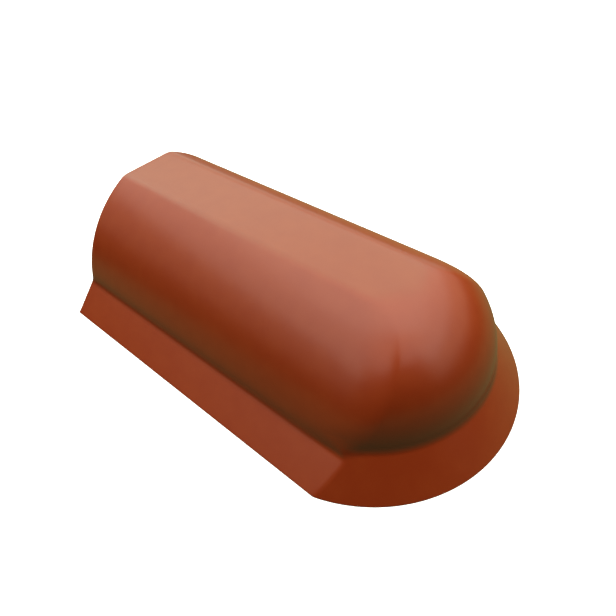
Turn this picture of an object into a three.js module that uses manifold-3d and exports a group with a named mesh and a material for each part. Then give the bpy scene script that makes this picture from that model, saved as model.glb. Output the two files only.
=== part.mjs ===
// Ridge end tile: one moulded shell that closes the end of a roof ridge.
// Millimetres, +Z up, +X towards the rounded end, origin under the middle of the bounding box.
// The body is a barrel vault with a flat strip along its crown. One end is cut square and open, the
// other falls away in a dome about an upright axis. A sloping flange runs down both sides and round
// the dome. The underside is open, and the shell stands on the level foot of the flange.
import * as THREE from 'three';
import { mergeVertices } from 'three/addons/utils/BufferGeometryUtils.js';
import Module from 'manifold-3d';

// Outside sizes
const WIDTH = 260;
const HEIGHT = 115;
const END_AXIS = 275;
const END_EDGE_RADIUS = 137.5;
const CROWN_WIDTH = 57;
const BODY_WIDTH = 204;
const END_BODY_RADIUS = 110.5;
const FLANGE_RISE = 27.5;
const END_FLANGE_RISE = 34;
const FLANGE_LIP = 1;
const SIDE_ARC_RADIUS = 127;
const END_ARC_RADIUS = 84.5;

// Softened corners: length taken off each side of the corner
const CREASE_SOFTENING = 7;
const FLANGE_SOFTENING = 3.5;

// Shell
const WALL = 14;
const CROWN_WALL = 15.5;
const MARGIN = 10;

// Facets
const ARC_STEPS = 18;
const CORNER_STEPS = 4;
const TURN_STEPS = 80;
const MERGE_GAP = 1e-4;

const LENGTH = END_AXIS + END_EDGE_RADIUS;

// Points of a circular arc that bulges away from the origin, both ends included.
function arcBetween(from, to, radius) {
  const middle = from.clone().add(to).multiplyScalar(0.5);
  const chord = to.clone().sub(from);
  const inward = new THREE.Vector2(-chord.y, chord.x).normalize();
  if (inward.dot(middle) > 0) {
    inward.negate();
  }
  const drop = Math.sqrt(radius * radius - chord.lengthSq() / 4);
  const centre = middle.addScaledVector(inward, drop);
  const start = Math.atan2(from.y - centre.y, from.x - centre.x);
  const sweep = Math.atan2(to.y - centre.y, to.x - centre.x) - start;
  const points = [];
  for (let i = 0; i <= ARC_STEPS; i += 1) {
    const angle = start + (sweep * i) / ARC_STEPS;
    const spoke = new THREE.Vector2(Math.cos(angle), Math.sin(angle));
    points.push(spoke.multiplyScalar(radius).add(centre));
  }
  return { centre, points };
}

// A point the given length along a run of points.
function alongRun(points, length) {
  let left = length;
  for (let i = 1; i < points.length; i += 1) {
    const step = points[i - 1].distanceTo(points[i]);
    if (left < step) {
      return { point: points[i - 1].clone().lerp(points[i], left / step), next: i };
    }
    left -= step;
  }
  throw new Error('softening is longer than the run');
}

// Joins two runs that share a corner, with a parabola in place of the corner.
function joinSoftly(before, after, length) {
  const corner = after[0];
  const backwards = before.slice().reverse();
  const entry = alongRun(backwards, length);
  const exit = alongRun(after, length);
  const turn = new THREE.QuadraticBezierCurve(entry.point, corner, exit.point);
  const head = backwards.slice(entry.next).reverse();
  return [...head, ...turn.getPoints(CORNER_STEPS), ...after.slice(exit.next)];
}

// Outer half section from the foot of the flange to the middle of the crown, as (distance, height).
function outerHalf(edge, body, rise, arcRadius) {
  const foot = new THREE.Vector2(edge, 0);
  const lip = new THREE.Vector2(edge, FLANGE_LIP);
  const junction = new THREE.Vector2(body, rise);
  const crease = new THREE.Vector2(CROWN_WIDTH / 2, HEIGHT);
  const wall = arcBetween(junction, crease, arcRadius);
  const crown = [crease, new THREE.Vector2(0, HEIGHT)];
  const flangeAndWall = joinSoftly([lip, junction], wall.points, FLANGE_SOFTENING);
  return {
    points: [foot, ...joinSoftly(flangeAndWall, crown, CREASE_SOFTENING)],
    wallCentre: wall.centre,
    flange: [lip, junction],
  };
}

// Inner half section: flange and wall set in by the wall thickness, level crown, run on below the foot.
function innerHalf(outer, arcRadius) {
  const radius = arcRadius - WALL;
  const [lip, junction] = outer.flange;
  const slope = junction.clone().sub(lip).normalize();
  const inset = new THREE.Vector2(-slope.y, slope.x).multiplyScalar(WALL);
  const start = lip.clone().add(inset);
  const below = start.clone().addScaledVector(slope, (-MARGIN - start.y) / slope.y);
  const toCentre = outer.wallCentre.clone().sub(start);
  const run = toCentre.dot(slope);
  const gap = Math.sqrt(toCentre.lengthSq() - run * run);
  const meet = start.clone().addScaledVector(slope, run - Math.sqrt(radius * radius - gap * gap));
  const rise = HEIGHT - CROWN_WALL - outer.wallCentre.y;
  const crownEdge = outer.wallCentre.x + Math.sqrt(radius * radius - rise * rise);
  const crease = new THREE.Vector2(crownEdge, HEIGHT - CROWN_WALL);
  const wall = arcBetween(meet, crease, radius);
  return [below, ...wall.points, new THREE.Vector2(0, HEIGHT - CROWN_WALL)];
}

// Half section mirrored and drawn out along X.
function drawnOut(half, from, to) {
  const offCentre = half.filter((p) => p.x > 0);
  const mirrored = offCentre.map((p) => new THREE.Vector2(-p.x, p.y)).reverse();
  const shape = new THREE.Shape([...offCentre, ...mirrored]);
  const geometry = new THREE.ExtrudeGeometry(shape, { depth: to - from, bevelEnabled: false });
  geometry.rotateX(Math.PI / 2);
  geometry.rotateZ(Math.PI / 2);
  geometry.translate(from, 0, 0);
  return geometry;
}

// Half section turned about the upright axis of the dome.
function turned(half, floor) {
  const onAxis = [new THREE.Vector2(0, floor), new THREE.Vector2(half[0].x, floor)];
  const profile = [...onAxis, ...half.filter((p) => p.y > floor)];
  const geometry = new THREE.LatheGeometry(profile, TURN_STEPS);
  geometry.rotateX(Math.PI / 2);
  geometry.translate(END_AXIS, 0, 0);
  return geometry;
}

// Everything on the square side of the dome's axis.
function squareSide() {
  const geometry = new THREE.BoxGeometry(END_AXIS + 2 * MARGIN, 2 * WIDTH, 4 * HEIGHT);
  geometry.translate(END_AXIS / 2 - MARGIN, 0, 0);
  return geometry;
}

const wasm = await Module();
wasm.setup();

// Closed solid from a geometry, without the collapsed triangles at a pole.
function solid(geometry) {
  const bare = geometry.clone();
  bare.deleteAttribute('normal');
  bare.deleteAttribute('uv');
  const merged = mergeVertices(bare, MERGE_GAP);
  const index = merged.getIndex().array;
  const triangles = [];
  for (let i = 0; i < index.length; i += 3) {
    const [a, b, c] = [index[i], index[i + 1], index[i + 2]];
    if (a !== b && b !== c && c !== a) {
      triangles.push(a, b, c);
    }
  }
  return new wasm.Manifold(
    new wasm.Mesh({
      numProp: 3,
      vertProperties: new Float32Array(merged.getAttribute('position').array),
      triVerts: new Uint32Array(triangles),
    }),
  );
}

// Vault along the ridge, held within the dome beyond the dome's axis.
function vaultWithDome(sideHalf, endHalf, from, floor) {
  const vault = solid(drawnOut(sideHalf, from, LENGTH + MARGIN));
  const limit = solid(squareSide()).add(solid(turned(endHalf, floor)));
  return vault.intersect(limit);
}

const side = outerHalf(WIDTH / 2, BODY_WIDTH / 2, FLANGE_RISE, SIDE_ARC_RADIUS);
const end = outerHalf(END_EDGE_RADIUS, END_BODY_RADIUS, END_FLANGE_RISE, END_ARC_RADIUS);
const sideInside = innerHalf(side, SIDE_ARC_RADIUS);
const endInside = innerHalf(end, END_ARC_RADIUS);
const outside = vaultWithDome(side.points, end.points, 0, -MARGIN / 2);
const inside = vaultWithDome(sideInside, endInside, -MARGIN, -2 * MARGIN);
const shell = outside.subtract(inside);

const mesh = shell.getMesh();
const geometry = new THREE.BufferGeometry();
geometry.setAttribute('position', new THREE.BufferAttribute(mesh.vertProperties, 3));
geometry.setIndex(new THREE.BufferAttribute(mesh.triVerts, 1));
geometry.translate(-LENGTH / 2, 0, 0);
geometry.computeVertexNormals();

const coating = new THREE.MeshStandardMaterial({ color: 0x9c5238, roughness: 0.55, metalness: 0 });
const tile = new THREE.Mesh(geometry, coating);
tile.name = 'ridge_end_tile';

const part = new THREE.Group();
part.name = 'ridge_end_tile_part';
part.add(tile);

export default part;
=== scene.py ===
"""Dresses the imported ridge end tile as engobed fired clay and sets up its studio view.

The tile is one moulded shell: a barrel vault with a flat crown, cut square and open at one end and
closed by a dome at the other, with a sloping flange along both sides and round the dome.
"""

import bmesh
import bpy
import numpy as np
from mathutils import Matrix, Vector


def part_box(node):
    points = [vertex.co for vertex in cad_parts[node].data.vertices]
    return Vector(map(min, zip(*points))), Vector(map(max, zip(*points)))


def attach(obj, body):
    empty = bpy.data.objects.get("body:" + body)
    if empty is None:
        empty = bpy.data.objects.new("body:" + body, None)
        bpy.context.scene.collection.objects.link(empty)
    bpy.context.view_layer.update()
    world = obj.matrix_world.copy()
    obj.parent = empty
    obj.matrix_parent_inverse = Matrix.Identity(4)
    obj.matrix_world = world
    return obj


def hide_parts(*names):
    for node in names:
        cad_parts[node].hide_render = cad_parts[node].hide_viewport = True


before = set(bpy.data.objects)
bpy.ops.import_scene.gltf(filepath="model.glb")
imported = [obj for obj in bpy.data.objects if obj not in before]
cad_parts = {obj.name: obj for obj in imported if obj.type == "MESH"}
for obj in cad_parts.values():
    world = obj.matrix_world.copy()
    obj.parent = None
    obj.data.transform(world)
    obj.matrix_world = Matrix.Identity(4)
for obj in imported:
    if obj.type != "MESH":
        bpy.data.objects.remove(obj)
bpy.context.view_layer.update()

bl_info = {
    "name": "Ridge End Tile",
    "version": (1, 0, 0),
    "blender": (4, 5, 0),
    "location": "View3D > Sidebar > Ridge Tile",
    "description": "Builds the fired-clay surface of a ridge end tile and its studio view",
    "category": "Object",
}

NODE = "ridge_end_tile"
BODY = "root"
TILE_LOW, TILE_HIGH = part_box(NODE)
MM = 0.001

# Side of the square photograph in pixels, width of the camera's sensor, nearest distance it sees
PHOTO_PIXELS = 616
SENSOR_MM = 36.0
CLIP_START = 10 * MM

# Half the side of the floor sheet, and how far it lies below the tile's foot
FLOOR_HALF = 10.0
FLOOR_DROP = 0.1 * MM

# Rows and columns of the shell's grid
FLANGE_ROWS = 14
WALL_ROWS = 44
EDGE_ROWS = 5
HOLLOW_ROWS = 9
CREASE_ROWS = 14
CROWN_ROWS = 8
FOOT_ROWS = 5
STRAIGHT_COLUMNS = 60
DOME_COLUMNS = 200
CUT_COLUMNS = 5

# How many times finer the dome's section is worked out before it is read at the side's heights
DOME_FINENESS = 6

# Share of the gap between side and dome that the rounding of their mitre may take up
MITRE_SHARE = 0.8

# Distance below which two points are one
WELD = 1e-6

# Sizes of the clay's patterns in millimetres. Sand grain is half a millimetre in life, which is too
# fine to show, so it is drawn coarser.
DRIFT_MM = 110
MOTTLE_MM = 14
GRAIN_MM = 2.2
NOISE_DETAIL = 3.0

# Sums of the drift and mottle noises between which the slip goes from thin to dense
THIN_SLIP = 0.75
DENSE_SLIP = 1.25

# Sums of caught slip and grain noise between which bare clay goes over to full cover
BARE_CLAY = 0.7
FULL_COVER = 1.1


def linear(hex_colour):
    """An sRGB hex colour as linear RGBA."""
    code = hex_colour.lstrip("#")
    srgb = np.array([int(code[i : i + 2], 16) for i in (0, 2, 4)]) / 255
    rgb = np.where(srgb <= 0.04045, srgb / 12.92, ((srgb + 0.055) / 1.055) ** 2.4)
    return (*rgb.tolist(), 1.0)


def length(name, description, millimetres):
    """A length setting, given in millimetres."""
    return bpy.props.FloatProperty(
        name=name, description=description, default=millimetres * MM, unit="LENGTH", precision=4
    )


def colour(name, description, hex_colour):
    """A colour setting, given as sRGB hex."""
    return bpy.props.FloatVectorProperty(
        name=name,
        description=description,
        default=linear(hex_colour),
        subtype="COLOR",
        size=4,
        min=0,
        max=1,
    )


def angle(name, description, degrees):
    """An angle setting, given in degrees."""
    return bpy.props.FloatProperty(
        name=name, description=description, default=np.radians(degrees), subtype="ANGLE"
    )


def amount(name, description, default):
    """A plain number from zero up."""
    return bpy.props.FloatProperty(name=name, description=description, default=default, min=0)


class TileShape(bpy.types.PropertyGroup):
    """Sizes of the moulded shell; width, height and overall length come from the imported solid."""

    dome_axis: length("Dome axis", "From the open end to the upright axis of the dome", 275)
    crown_width: length("Crown width", "Width of the flat strip along the top", 57)
    body_width: length("Body width", "Width of the vault where it meets the flange", 204)
    dome_radius: length("Dome radius", "Radius of the dome where it meets the flange", 110.5)
    flange_rise: length("Flange rise", "Height at which the side flange meets the wall", 27.5)
    dome_flange_rise: length(
        "Dome flange rise", "Height at which the end flange meets the dome", 34
    )
    flange_lip: length("Flange lip", "Height of the upright edge at the foot of the flange", 1)
    side_arc_radius: length("Side arc radius", "Radius of the vault's side in cross section", 127)
    dome_arc_radius: length("Dome arc radius", "Radius of the dome's upright section", 84.5)
    wall: length("Wall", "Thickness of the shell", 14)
    crown_wall: length("Crown wall", "Thickness under the flat crown", 15.5)
    crease_softening: length(
        "Crease softening", "Taken off each side of the crease between crown and wall", 4.5
    )
    flange_softening: length(
        "Flange softening", "Taken off each side of the corner of flange and wall", 3.5
    )
    mitre_softening: length(
        "Mitre softening", "Reach of the rounding where the wall turns into the dome", 16
    )
    mitre_run: length("Mitre run", "Height above the flange over which that rounding grows", 24)
    flange_mitre_softening: length(
        "Flange mitre softening", "Reach of the rounding on the flange's mitre", 0.5
    )
    # Painted shade: these three lengths give how far up the sides and up the dome the foot of the wall
    # is painted darker, and the width over which the two blend.
    side_shade_reach: length(
        "Side pool", "Height up to which slip has pooled at the foot of the side walls", 14
    )
    dome_shade_reach: length("Dome pool", "Height up to which slip has pooled at the foot of the dome", 60)
    shade_turn: length("Pool turn", "Width over which the one pool passes into the other", 24)
    edge_softening: length("Edge softening", "Taken off each side of the moulded foot edges", 0.35)
    cut_rounding: length("Cut rounding", "Radius on the edges of the square open end", 1.6)


class TileFinish(bpy.types.PropertyGroup):
    """Colours and surface of the tile's engobe and of the bare clay behind it."""

    engobe: colour("Engobe", "Red-brown slip fired onto the weather face", "#9C3D18")
    engobe_dense: colour("Dense engobe", "The slip where it lies thicker", "#983815")
    # Painted shade: the darker engobe colour painted at the foot of the wall, where shade falls.
    engobe_painted_shade: colour(
        "Pooled engobe", "The slip where it has run together at the foot of the wall", "#742D12"
    )
    clay: colour("Clay", "Bare fired clay of the underside and the cut end", "#A75B38")
    roughness: amount("Roughness", "Roughness of the fired engobe", 0.28)
    clay_roughness: amount("Clay roughness", "Roughness of the bare clay", 0.75)
    ripple_height: length("Ripple", "Height of the faint waves left by pressing and spraying", 0.08)
    grain_height: length("Grain", "Height of the sand grains under the slip", 0.02)


class StudioView(bpy.types.PropertyGroup):
    """Camera of the photograph's view, and the light tent round the tile, open towards the camera."""

    camera_place: bpy.props.FloatVectorProperty(
        name="Camera place",
        description="Where the camera stands, in the tile's own frame",
        default=(0.2192, -0.2358, 0.3571),
        subtype="TRANSLATION",
    )
    azimuth: angle("Azimuth", "Turn of the view about the upright, from looking along +Y", 42.42)
    elevation: angle("Elevation", "Height of the view above the horizon", 45.80)
    roll: angle("Roll", "Turn of the picture about the line of sight", -4.11)
    focal_pixels: amount("Focal length", "Focal length in pixels of the square photograph", 480.3)
    floor: colour("Floor", "Pale sheet that the tile stands on", "#F7F6F4")
    floor_glow: amount(
        "Floor glow", "Light of the sheet's own, which keeps it white up to the tile", 1.0
    )
    tent_side: length("Tent side", "From the middle of the tent to its side walls", 1500)
    tent_back: length("Tent back", "From the middle of the tent to its back wall", 1800)
    tent_height: length("Tent height", "Height of the ceiling", 1900)
    wall_front: length("Wall front", "How far the side walls reach towards the camera", 1300)
    wall_middle: length("Wall middle", "Height above which the walls are lit in full", 1000)
    wall_foot: length("Wall foot", "Height at which the dimmer foot of the side walls begins", 400)
    ceiling_back: length(
        "Ceiling back", "From the middle of the tent to the cooler back part of the ceiling", 1000
    )
    ceiling_front: length("Ceiling front", "How far the ceiling reaches towards the camera", 480)
    apron_front: length("Apron front", "How far the apron in front of the ceiling reaches", 740)
    inner_front: length("Inner strip front", "How far the apron's two inner strips reach", 1240)
    outer_front: length("Outer strip front", "How far the apron's two outer strips reach", 1860)
    gap_left: length(
        "Gap left", "From the middle of the tent to the left edge of the gap in the strips", 180
    )
    gap_right: length("Gap right", "From the middle of the tent to the right edge of that gap", 400)
    outer_left: length(
        "Outer left", "From the middle of the tent, leftwards, to the left outer strip", 240
    )
    outer_right: length("Outer right", "From the middle of the tent to the right outer strip", 800)
    ground_reach: length(
        "Ground reach", "How far the ground that the tile mirrors reaches to each side", 600
    )
    warm: colour("Warm light", "Colour of the ceiling, its apron and the side walls", "#FFFAEC")
    amber: colour("Amber light", "Colour of the foot of the side walls", "#FFE7CB")
    cool: colour("Cool light", "Colour of the back of the tent", "#CAFFEA")
    olive: colour("Ground colour", "Colour of the ground, as the tile mirrors it", "#DCFFA6")
    ceiling_light: amount("Ceiling light", "Radiance of the ceiling", 3.06)
    ceiling_back_light: amount("Ceiling back light", "Radiance of the ceiling's back part", 3.05)
    apron_light: amount("Apron light", "Radiance of the apron in front of the ceiling", 1.85)
    left_strip_light: amount("Left strip light", "Radiance of the apron's left strips", 1.7)
    right_strip_light: amount("Right strip light", "Radiance of the apron's right strips", 2.0)
    left_light: amount("Left light", "Radiance of the left wall", 1.9)
    left_foot_light: amount("Left foot light", "Radiance of the left wall's foot", 0.55)
    right_light: amount("Right light", "Radiance of the right wall", 2.2)
    right_foot_light: amount("Right foot light", "Radiance of the right wall's foot", 1.1)
    back_light: amount("Back light", "Radiance of the back wall", 2.7)
    back_foot_light: amount("Back foot light", "Radiance of the back wall's foot", 1.0)
    ground_light: amount("Ground light", "Radiance of the ground, as the tile mirrors it", 0.26)


def line(start, end, steps):
    """Evenly spaced points from start to end."""
    return np.linspace(start, end, steps + 1)


def arc(start, end, radius, steps):
    """Points of a circular arc from start to end, and the arc's centre.

    The arc bulges away from the origin: its centre lies on the chord's bisector, on the origin's side,
    one radius from both ends.
    """
    middle = (start + end) / 2
    chord = end - start
    inward = np.array([-chord[1], chord[0]]) / np.hypot(*chord)
    inward *= -np.sign(inward @ middle)
    centre = middle + inward * np.sqrt(radius**2 - chord @ chord / 4)
    first, last = (np.arctan2(*(p - centre)[::-1]) for p in (start, end))
    turn = np.linspace(first, last, steps + 1)
    return centre + radius * np.stack([np.cos(turn), np.sin(turn)], axis=1), centre


def reach_along(run):
    """Length along a run of points, at each point."""
    return np.concatenate([[0], np.cumsum(np.linalg.norm(np.diff(run, axis=0), axis=1))])


def resampled(run, at):
    """Points of a run at the given lengths along it, by straight interpolation."""
    return np.stack([np.interp(at, reach_along(run), part) for part in run.T], axis=1)


def softly_joined(runs, cuts, corner_steps):
    """Joins runs that share corners, with a parabola in place of each corner.

    Each run loses the cut length beside a corner. The gap is filled by the quadratic Bezier curve whose
    control point is the corner, so it leaves one run and meets the next without a kink.
    """
    pieces = []
    for run, head, tail, steps in zip(runs, [0, *cuts], [*cuts, 0], [0, *corner_steps]):
        piece = resampled(run, np.linspace(head, reach_along(run)[-1] - tail, len(run)))
        if pieces:
            t = np.linspace(0, 1, steps + 1)[1:-1, None]
            before, corner, after = pieces[-1][-1], run[0], piece[0]
            pieces.append((1 - t) ** 2 * before + 2 * t * (1 - t) * corner + t**2 * after)
        pieces.append(piece)
    return np.concatenate(pieces)


def half_section(shape, edge, body, rise, arc_radius, fine):
    """Outer and inner half section of the shell, as rows of (distance from the middle, height).

    The outer one rises from the foot over lip, flange and wall arc to the edge of the crown. Its run
    along the crown only ends the crease's curve, so all but that run's first point are dropped. The
    inner one runs one wall thickness further in: a straight slope, an arc about the same centre, and
    the underside of the crown. Slope and arc meet where the slope is one radius from that centre.
    """
    height = TILE_HIGH.z
    soft = shape.edge_softening
    foot = np.array([edge, 0])
    lip = np.array([edge, shape.flange_lip])
    junction = np.array([body, rise])
    crease = np.array([shape.crown_width / 2, height])
    wall, centre = arc(junction, crease, arc_radius, WALL_ROWS * fine)
    outer = softly_joined(
        [
            line(foot - [2 * soft, 0], foot, fine),
            line(foot, lip, fine),
            line(lip, junction, FLANGE_ROWS * fine),
            wall,
            line(crease, crease - [shape.crease_softening + WELD, 0], fine),
        ],
        [soft, soft, shape.flange_softening, shape.crease_softening],
        [EDGE_ROWS * fine, EDGE_ROWS * fine, HOLLOW_ROWS * fine, CREASE_ROWS * fine],
    )[:-fine]
    slope = (junction - lip) / np.linalg.norm(junction - lip)
    start = lip + np.array([-slope[1], slope[0]]) * shape.wall
    inner_foot = start - slope * start[1] / slope[1]
    radius = arc_radius - shape.wall
    run = (centre - start) @ slope
    gap = (centre - start) @ (centre - start) - run**2
    meet = start + slope * (run - np.sqrt(radius**2 - gap))
    top = height - shape.crown_wall
    inner_crease = np.array([centre[0] + np.sqrt(radius**2 - (top - centre[1]) ** 2), top])
    inner_wall, _ = arc(meet, inner_crease, radius, WALL_ROWS * fine)
    inner = softly_joined(
        [
            line(inner_foot + [2 * soft, 0], inner_foot, fine),
            line(inner_foot, meet, FLANGE_ROWS * fine),
            inner_wall,
            line(inner_crease, inner_crease - [shape.crease_softening + WELD, 0], fine),
        ],
        [soft, shape.flange_softening, shape.crease_softening],
        [EDGE_ROWS * fine, HOLLOW_ROWS * fine, CREASE_ROWS * fine],
    )
    return outer, resampled(inner, np.linspace(0, reach_along(inner)[-1], len(outer)))


def beside(side, dome):
    """Rows of (side's distance, dome's distance, height), the dome's read at the side's heights.

    Both sections rise all the way, so one height gives one distance. The first row is the foot of each.
    """
    distance = np.interp(side[:, 1], dome[:, 1], dome[:, 0])
    distance[0] = dome[0, 0]
    return np.column_stack([side[:, 0], distance, side[:, 1]])


def shell_rows(shape):
    """Rows of (side's distance, dome's distance, height), and the number of the first outer row.

    They run from the middle of the crown's underside down the inside, across the foot and up the
    outside to the middle of the crown. On the level crown and foot both distances change evenly.
    """
    dome_edge = TILE_HIGH.x - TILE_LOW.x - shape.dome_axis
    side = half_section(
        shape, TILE_HIGH.y, shape.body_width / 2, shape.flange_rise, shape.side_arc_radius, 1
    )
    dome = half_section(
        shape,
        dome_edge,
        shape.dome_radius,
        shape.dome_flange_rise,
        shape.dome_arc_radius,
        DOME_FINENESS,
    )
    outer, inner = (beside(a, b) for a, b in zip(side, dome))
    shrink = np.linspace(1, 0, CROWN_ROWS + 1)[1:, None] * [1, 1, 0] + [0, 0, 1]
    share = np.linspace(0, 1, FOOT_ROWS + 2)[1:-1, None]
    foot = inner[0] + share * (outer[0] - inner[0])
    inner = np.concatenate([inner, shrink * inner[-1]])
    outer = np.concatenate([outer, shrink * outer[-1]])
    return np.concatenate([inner[::-1], foot, outer]), len(inner) + FOOT_ROWS


def section_normals(rows):
    """Unit normals of the side's section, out of the clay, square to the run of rows."""
    along = np.gradient(rows[:, [0, 2]], axis=0)
    normal = np.column_stack([along[:, 1], -along[:, 0]])
    normal[[0, -1]] = [[0, -1], [0, 1]]
    return normal / np.linalg.norm(normal, axis=1, keepdims=True)


def soft_lower(a, b, softness):
    """The lower of a and b, with their meeting rounded off by a parabola of the given reach."""
    share = np.clip(0.5 + 0.5 * (b - a) / softness, 0, 1)
    return b * (1 - share) + a * share - softness * share * (1 - share)


def shell_grid(shape):
    """Skin of the shell as a grid, with its painted shade and the number of its first outer row.

    Rows run round the section, columns run round the tile from open end to open end. A column of the
    straight side stands across the ridge. At the open end it sinks by r - r cos a along the section's
    normal while it moves by r sin a to the end face, which rounds the cut edge. A column of the dome
    stands on a ray from the dome's axis: its distance is the lower of the side's distance over the sine
    of the ray's angle and the dome's own. The two meet in a mitre, nearly sharp on the flange, whose
    rounding grows up the wall by a smooth step, 3 u u - 2 u u u of the height u.
    """
    rows, outer_first = shell_rows(shape)
    side, dome, height = rows.T[:, :, None]
    normal = section_normals(rows)
    axis = TILE_LOW.x + shape.dome_axis
    radius = shape.cut_rounding
    bend = np.linspace(np.pi / 2, 0, CUT_COLUMNS + 1)[:-1]
    straight = np.linspace(TILE_LOW.x + radius, axis, STRAIGHT_COLUMNS + 1)[:-1]
    station = np.concatenate([TILE_LOW.x + radius - radius * np.sin(bend), straight])
    sink = np.concatenate([radius - radius * np.cos(bend), 0 * straight])
    across = side - normal[:, :1] * sink
    across[[0, -1]] = 0
    up = height - normal[:, 1:] * sink
    along = np.broadcast_to(station, across.shape)
    left = np.stack([along, -across, up], axis=-1)
    right = np.stack([along, across, up], axis=-1)[:, ::-1]
    turn = np.linspace(-np.pi / 2, np.pi / 2, DOME_COLUMNS + 1)
    sine = np.maximum(np.abs(np.sin(turn)), WELD)
    up_wall = np.clip((height - shape.flange_rise) / shape.mitre_run, 0, 1)
    softness = shape.flange_mitre_softening + shape.mitre_softening * up_wall**2 * (3 - 2 * up_wall)
    softness = np.minimum(softness, np.maximum(MITRE_SHARE * (dome - side), WELD))
    distance = soft_lower(side / sine, dome, softness)
    level = np.broadcast_to(height, distance.shape)
    round_end = np.stack([axis + distance * np.cos(turn), distance * np.sin(turn), level], axis=-1)
    # Painted shade: how much darker the foot of the wall is painted, blended from the sides onto the
    # dome.
    on_dome = np.clip(0.5 + (side / sine - dome) / shape.shade_turn, 0, 1)
    beside_dome = np.zeros(left.shape[:2])
    foot_shade = painted_foot_shade(shape, height, np.concatenate([beside_dome, on_dome, beside_dome], axis=1))
    return np.concatenate([left, round_end, right], axis=1), foot_shade, outer_first


def painted_foot_shade(shape, height, on_dome):
    """How much shade is painted on above the flange, from none to all.

    It is the square of the share of its reach that is left above a point, so it is densest in the
    hollow. It reaches further up the dome than up the sides, and fades out over the rounded corner
    towards the flange.
    """
    above = height - shape.flange_rise - (shape.dome_flange_rise - shape.flange_rise) * on_dome
    reach = shape.side_shade_reach + (shape.dome_shade_reach - shape.side_shade_reach) * on_dome
    return np.clip(1 - above / reach, 0, 1) ** 2 * np.clip(1 + above / shape.flange_softening, 0, 1)


def cut_face(edge, outer_first):
    """One half of the square end face, as straight lines from inner rows to outer rows.

    Each inner row is joined to the outer row at the same count from the foot. The lowest line is the
    end of the foot itself, so the face shares its points.
    """
    inner = edge[: outer_first - FOOT_ROWS][::-1, None]
    outer = edge[outer_first:, None]
    share = np.linspace(0, 1, FOOT_ROWS + 2)[None, :, None]
    face = inner * (1 - share) + outer * share
    face[0] = edge[outer_first - FOOT_ROWS - 1 : outer_first + 1]
    return face


def spray_cover(grid, outer_first):
    """How much slip each point of the skin has caught: all outside, none inside or across the foot.

    It fades evenly over the two rounded edges of the lip and over the rounded cut edge.
    """
    rows, columns = (np.arange(count) for count in grid.shape[:2])
    past_foot = np.clip((rows - outer_first) / (2 * EDGE_ROWS), 0, 1)
    past_cut = np.clip(np.minimum(columns, columns[::-1]) / CUT_COLUMNS, 0, 1)
    return past_foot[:, None] * past_cut


def quads(shape, first, flip):
    """Corner numbers of the quads of a grid whose points start at the given number."""
    number = first + np.arange(shape[0] * shape[1]).reshape(shape)
    corners = [number[:-1, :-1], number[:-1, 1:], number[1:, 1:], number[1:, :-1]]
    faces = np.stack(corners, axis=-1).reshape(-1, len(corners))
    return faces[:, ::-1] if flip else faces


def welded_mesh(name, grids):
    """One closed mesh from grids of points.

    Each grid comes with its slip cover, its painted shade and whether its faces are turned round.
    """
    first = np.cumsum([0, *(grid.shape[0] * grid.shape[1] for grid, *_ in grids)])
    points = np.concatenate([grid.reshape(-1, 3) for grid, *_ in grids])
    faces = np.concatenate(
        [quads(grid.shape[:2], at, flip) for (grid, _, _, flip), at in zip(grids, first)]
    )
    mesh = bpy.data.meshes.new(name)
    mesh.from_pydata(points, [], faces)
    # The first attribute is the slip's cover; the second is the shade painted at the foot of the wall.
    for attribute, column in (("spray", 1), ("foot_shade", 2)):
        values = np.concatenate([part[column].ravel() for part in grids]).astype(np.float32)
        mesh.attributes.new(attribute, "FLOAT", "POINT").data.foreach_set("value", values)
    welded = bmesh.new()
    welded.from_mesh(mesh)
    bmesh.ops.remove_doubles(welded, verts=welded.verts, dist=WELD)
    if not all(edge.is_contiguous for edge in welded.edges):
        raise RuntimeError(f"{name} is not closed")
    if welded.calc_volume(signed=True) <= 0:
        raise RuntimeError(f"{name} is inside out")
    welded.to_mesh(mesh)
    welded.free()
    mesh.shade_smooth()
    return mesh


def node(tree, kind, inputs, **settings):
    """Adds a node with its settings, and gives each named input its value or its link."""
    made = tree.nodes.new(kind)
    for name, value in settings.items():
        setattr(made, name, value)
    for name, value in inputs.items():
        if isinstance(value, bpy.types.NodeSocket):
            tree.links.new(value, made.inputs[name])
        else:
            made.inputs[name].default_value = value
    return made.outputs


def per_metre(size_mm):
    """Texture scale that gives a pattern's features about the given size."""
    return 1 / (size_mm * MM)


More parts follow.
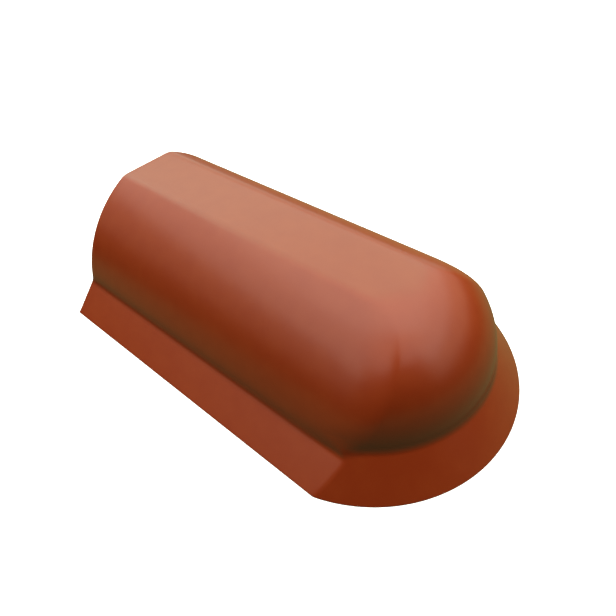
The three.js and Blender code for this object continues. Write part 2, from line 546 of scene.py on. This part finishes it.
def engobed_clay(finish):
    """Fired clay under a red-brown engobe: a satin skin with a soft sheen, a little cloudy and sandy.

    The slip is sprayed, so its depth drifts over a hand's width and mottles over a finger's width.
    Shade is painted on at the foot of the wall, which is darker. Bare clay shows inside, on the foot
    and on the cut end, where it is paler and dull.
    """
    material = bpy.data.materials.new("engobed_fired_clay")
    material.use_nodes = True
    tree = material.node_tree
    skin = tree.nodes["Principled BSDF"]
    place = node(tree, "ShaderNodeTexCoord", {})["Object"]
    drift, mottle, grain = (
        node(
            tree,
            "ShaderNodeTexNoise",
            {"Vector": place, "Scale": per_metre(size), "Detail": NOISE_DETAIL},
        )["Fac"]
        for size in (DRIFT_MM, MOTTLE_MM, GRAIN_MM)
    )
    spread = node(tree, "ShaderNodeMath", {0: drift, 1: mottle}, operation="ADD")["Value"]
    depth = node(
        tree, "ShaderNodeMapRange", {"Value": spread, "From Min": THIN_SLIP, "From Max": DENSE_SLIP}
    )["Result"]
    slip = node(
        tree,
        "ShaderNodeMix",
        {"Factor": depth, "A": finish.engobe, "B": finish.engobe_dense},
        data_type="RGBA",
    )["Result"]
    # Painted shade: the foot of the wall is mixed towards a darker engobe, where shade falls.
    foot_shade = node(tree, "ShaderNodeAttribute", {}, attribute_name="foot_shade")["Fac"]
    slip = node(
        tree,
        "ShaderNodeMix",
        {"Factor": foot_shade, "A": slip, "B": finish.engobe_painted_shade},
        data_type="RGBA",
    )["Result"]
    caught = node(tree, "ShaderNodeAttribute", {}, attribute_name="spray")["Fac"]
    ragged = node(tree, "ShaderNodeMath", {0: caught, 1: grain}, operation="ADD")["Value"]
    cover = node(
        tree, "ShaderNodeMapRange", {"Value": ragged, "From Min": BARE_CLAY, "From Max": FULL_COVER}
    )["Result"]
    base = node(
        tree, "ShaderNodeMix", {"Factor": cover, "A": finish.clay, "B": slip}, data_type="RGBA"
    )["Result"]
    rough = node(
        tree,
        "ShaderNodeMapRange",
        {"Value": cover, "To Min": finish.clay_roughness, "To Max": finish.roughness},
    )["Result"]
    waves = node(
        tree, "ShaderNodeBump", {"Height": mottle, "Distance": finish.ripple_height}
    )["Normal"]
    sand = node(
        tree, "ShaderNodeBump", {"Height": grain, "Distance": finish.grain_height, "Normal": waves}
    )["Normal"]
    tree.links.new(base, skin.inputs["Base Color"])
    tree.links.new(rough, skin.inputs["Roughness"])
    tree.links.new(sand, skin.inputs["Normal"])
    return material


def studio_paper(studio):
    """White background paper: flat and even, with light of its own so that it stays white."""
    material = bpy.data.materials.new("studio_paper")
    material.use_nodes = True
    sheet = material.node_tree.nodes["Principled BSDF"]
    sheet.inputs["Base Color"].default_value = studio.floor
    sheet.inputs["Roughness"].default_value = 1.0
    sheet.inputs["Specular IOR Level"].default_value = 0.0
    sheet.inputs["Emission Color"].default_value = studio.floor
    sheet.inputs["Emission Strength"].default_value = studio.floor_glow
    return material


def light_panel(name, ways, across, along, up):
    """A rectangular light between two reaches across, towards the camera and up.

    One of the three reaches has no length: the panel stands square to it and faces the middle of the
    tent.
    """
    right, _, _, front = ways
    spans = [(right, across), (front, along), (Vector((0, 0, 1)), up)]
    middle = sum((way * (low + high) / 2 for way, (low, high) in spans), Vector())
    facing, (place, _) = next(span for span in spans if span[1][0] == span[1][1])
    first, second = (span for span in spans if span[1][0] != span[1][1])
    outward = facing * np.sign(place)
    lamp = bpy.data.lights.new(name, "AREA")
    lamp.shape = "RECTANGLE"
    lamp.size, lamp.size_y = (high - low for _, (low, high) in (first, second))
    panel = bpy.data.objects.new(name, lamp)
    turn = axes(first[0], outward.cross(first[0]), outward)
    panel.matrix_world = Matrix.Translation(middle) @ turn.to_4x4()
    panel.visible_camera = False
    return panel


def axes(x, y, z):
    """Rotation whose columns are the given unit vectors."""
    return Matrix((x, y, z)).transposed()


def view_axes(studio):
    """Right, up and back of the picture before its roll, and the level way towards the camera."""
    right = Vector((np.cos(studio.azimuth), np.sin(studio.azimuth), 0))
    front = Vector((np.sin(studio.azimuth), -np.cos(studio.azimuth), 0))
    back = front * np.cos(studio.elevation) + Vector((0, 0, np.sin(studio.elevation)))
    return right, back.cross(right), back, front


class RIDGETILE_OT_tile(bpy.types.Operator):
    """Builds the tile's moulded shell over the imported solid"""

    bl_idname = "ridge_tile.tile"
    bl_label = "Tile"

    def execute(self, context):
        # The shell comes with the shade painted at the foot of its wall.
        grid, foot_shade, outer_first = shell_grid(context.scene.ridge_tile_shape)
        left, right = (cut_face(grid[:, column], outer_first) for column in (0, -1))
        bare = np.zeros(left.shape[:2])
        skin = (grid, spray_cover(grid, outer_first), foot_shade, False)
        grids = [skin, (left, bare, bare, False), (right, bare, bare, True)]
        tile = bpy.data.objects.new("tile_shell", welded_mesh("tile_shell", grids))
        tile.data.materials.append(engobed_clay(context.scene.ridge_tile_finish))
        context.scene.collection.objects.link(tile)
        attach(tile, BODY)
        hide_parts(NODE)
        return {"FINISHED"}


class RIDGETILE_OT_stage(bpy.types.Operator):
    """Sets up the pale floor, the light tent and the camera"""

    bl_idname = "ridge_tile.stage"
    bl_label = "Stage"

    def execute(self, context):
        scene = context.scene
        studio = scene.ridge_tile_studio
        self.lay_floor(scene, studio)
        self.hang_tent(scene, studio)
        self.place_camera(scene, studio)
        scene.view_settings.view_transform = "Standard"
        return {"FINISHED"}

    def lay_floor(self, scene, studio):
        """A large level sheet, just below the tile's foot.

        It throws no light or reflection back, so the foot of the tile stays as dark as it is in the
        photograph.
        """
        low, high = -FLOOR_HALF, FLOOR_HALF
        plan = ((low, low), (high, low), (high, high), (low, high))
        mesh = bpy.data.meshes.new("studio_floor")
        mesh.from_pydata([(x, y, -FLOOR_DROP) for x, y in plan], [], [(0, 1, 2, 3)])
        mesh.materials.append(studio_paper(studio))
        floor = bpy.data.objects.new("studio_floor", mesh)
        floor.visible_diffuse = False
        floor.visible_glossy = False
        floor.visible_shadow = False
        scene.collection.objects.link(floor)

    def hang_tent(self, scene, studio):
        """Soft panels round the tile, each given by its reach across, towards the camera and up.

        The lit panels carry the light. The mirrored ones show in the sheen alone: the ground, and an
        apron that carries the ceiling on towards the camera and ends in strips, with a dark gap between
        them that widens to the front. Panels at the top cast no shadow. The air round the tent is pale
        to the camera and gives no light.
        """
        side = (-studio.tent_side, studio.tent_side)
        depth = (-studio.tent_back, studio.wall_front)
        apron = (studio.ceiling_front, studio.apron_front)
        inner = (studio.apron_front, studio.inner_front)
        outer = (studio.apron_front, studio.outer_front)
        outer_left = (side[0], -studio.outer_left)
        inner_left = (-studio.outer_left, studio.gap_left)
        inner_right = (studio.gap_right, studio.outer_right)
        outer_right = (studio.outer_right, side[1])
        low = (studio.wall_foot, studio.wall_middle)
        from_floor = (0, studio.wall_middle)
        high = (studio.wall_middle, studio.tent_height)
        top = (studio.tent_height, studio.tent_height)
        left, right, back = ((place, place) for place in (*side, -studio.tent_back))
        over = (-studio.ceiling_back, studio.ceiling_front)
        behind = (-studio.tent_back, -studio.ceiling_back)
        ground = (-studio.ground_reach, studio.ground_reach)
        under = (-WELD, -WELD)
        lit = {
            "ceiling": (side, over, top, studio.warm, studio.ceiling_light),
            "ceiling_back": (side, behind, top, studio.cool, studio.ceiling_back_light),
            "left_wall": (left, depth, high, studio.warm, studio.left_light),
            "left_wall_foot": (left, depth, low, studio.amber, studio.left_foot_light),
            "right_wall": (right, depth, high, studio.warm, studio.right_light),
            "right_wall_foot": (right, depth, low, studio.amber, studio.right_foot_light),
            "back_wall": (side, back, high, studio.cool, studio.back_light),
            "back_wall_foot": (side, back, from_floor, studio.cool, studio.back_foot_light),
        }
        mirrored = {
            "apron": (side, apron, top, studio.warm, studio.apron_light),
            "left_strip": (outer_left, outer, top, studio.warm, studio.left_strip_light),
            "left_inner": (inner_left, inner, top, studio.warm, studio.left_strip_light),
            "right_inner": (inner_right, inner, top, studio.warm, studio.right_strip_light),
            "right_strip": (outer_right, outer, top, studio.warm, studio.right_strip_light),
            "ground": (ground, ground, under, studio.olive, studio.ground_light),
        }
        for name, (across, along, up, tint, radiance) in {**lit, **mirrored}.items():
            panel = light_panel(name, view_axes(studio), across, along, up)
            panel.data.color = tint[:3]
            panel.data.energy = radiance * np.pi * panel.data.size * panel.data.size_y
            panel.data.use_shadow = up != top
            panel.visible_diffuse = name in lit
            scene.collection.objects.link(panel)
        air = bpy.data.worlds.new("studio_air")
        air.use_nodes = True
        tree = air.node_tree
        seen = node(tree, "ShaderNodeLightPath", {})["Is Camera Ray"]
        tree.links.new(seen, tree.nodes["Background"].inputs["Strength"])
        tree.nodes["Background"].inputs["Color"].default_value = studio.floor
        scene.world = air

    def place_camera(self, scene, studio):
        """The photograph's camera, as fitted to the tile's outline and creases."""
        lens = bpy.data.cameras.new("photo_camera")
        lens.sensor_width = SENSOR_MM
        lens.lens = studio.focal_pixels * SENSOR_MM / PHOTO_PIXELS
        lens.clip_start = CLIP_START
        right, up, back, _ = view_axes(studio)
        turn = axes(right, up, back) @ Matrix.Rotation(studio.roll, 3, "Z")
        camera = bpy.data.objects.new("photo_camera", lens)
        camera.matrix_world = Matrix.Translation(studio.camera_place) @ turn.to_4x4()
        scene.collection.objects.link(camera)
        scene.camera = camera


class RIDGETILE_PT_panel(bpy.types.Panel):
    """Sizes, finish and studio of the ridge end tile"""

    bl_idname = "RIDGETILE_PT_panel"
    bl_label = "Ridge Tile"
    bl_space_type = "VIEW_3D"
    bl_region_type = "UI"
    bl_category = "Ridge Tile"

    def draw(self, context):
        for operator, names in (
            (RIDGETILE_OT_tile, ("ridge_tile_shape", "ridge_tile_finish")),
            (RIDGETILE_OT_stage, ("ridge_tile_studio",)),
        ):
            box = self.layout.box()
            for name in names:
                group = getattr(context.scene, name)
                for setting in group.__annotations__:
                    box.prop(group, setting)
            box.operator(operator.bl_idname)


GROUPS = {
    "ridge_tile_shape": TileShape,
    "ridge_tile_finish": TileFinish,
    "ridge_tile_studio": StudioView,
}
CLASSES = (*GROUPS.values(), RIDGETILE_OT_tile, RIDGETILE_OT_stage, RIDGETILE_PT_panel)


def register():
    """Adds the classes and hangs each group of settings on the scene."""
    for made in CLASSES:
        bpy.utils.register_class(made)
    for name, group in GROUPS.items():
        setattr(bpy.types.Scene, name, bpy.props.PointerProperty(type=group))


def unregister():
    """Takes the settings and the classes away again."""
    for name in GROUPS:
        delattr(bpy.types.Scene, name)
    for made in reversed(CLASSES):
        bpy.utils.unregister_class(made)


def main():
    """Builds the tile and its stage."""
    register()
    bpy.ops.ridge_tile.stage()
    bpy.ops.ridge_tile.tile()


if __name__ == "__main__":
    main()
